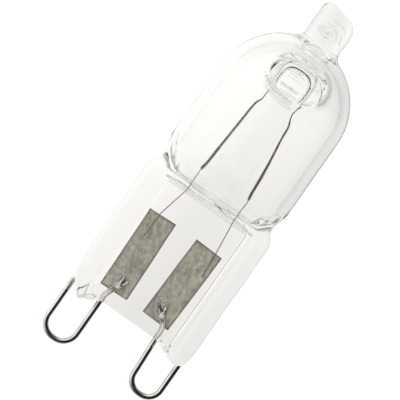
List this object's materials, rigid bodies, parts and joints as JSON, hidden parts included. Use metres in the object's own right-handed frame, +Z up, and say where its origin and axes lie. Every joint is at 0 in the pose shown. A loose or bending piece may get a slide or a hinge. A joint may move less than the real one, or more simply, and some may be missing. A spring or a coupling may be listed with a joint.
{
  "type": "halogen capsule lamp",
  "caption": "Clear quartz halogen capsule with a pressed pinch, two wire contact loops, sealed foils and a filament hooked over a glass pillar.",
  "frame": {"origin": "centre of the bounding box at floor level, under the lamp as it lies on its back", "axes": "+Y along the lamp towards the exhaust tip, +X across the pinch, +Z up; the lamp's own axis rises towards the tip by the angle at which it rests"},
  "size_m": [0.014, 0.0402, 0.0146],
  "materials": {
    "quartz": "clear fused quartz, fire-polished",
    "foil": "etched molybdenum foil, dull grey, scuffed",
    "lead_wire": "drawn molybdenum wire",
    "contact_wire": "bright drawn wire",
    "tungsten": "dark coiled tungsten"
  },
  "bodies": {
    "root": {"quartz_envelope": "quartz", "foil_left": "foil", "foil_right": "foil", "inner_lead_left": "lead_wire", "inner_lead_right": "lead_wire", "contact_loop_left": "contact_wire", "contact_loop_right": "contact_wire", "filament": "tungsten"}
  },
  "joints": []
}
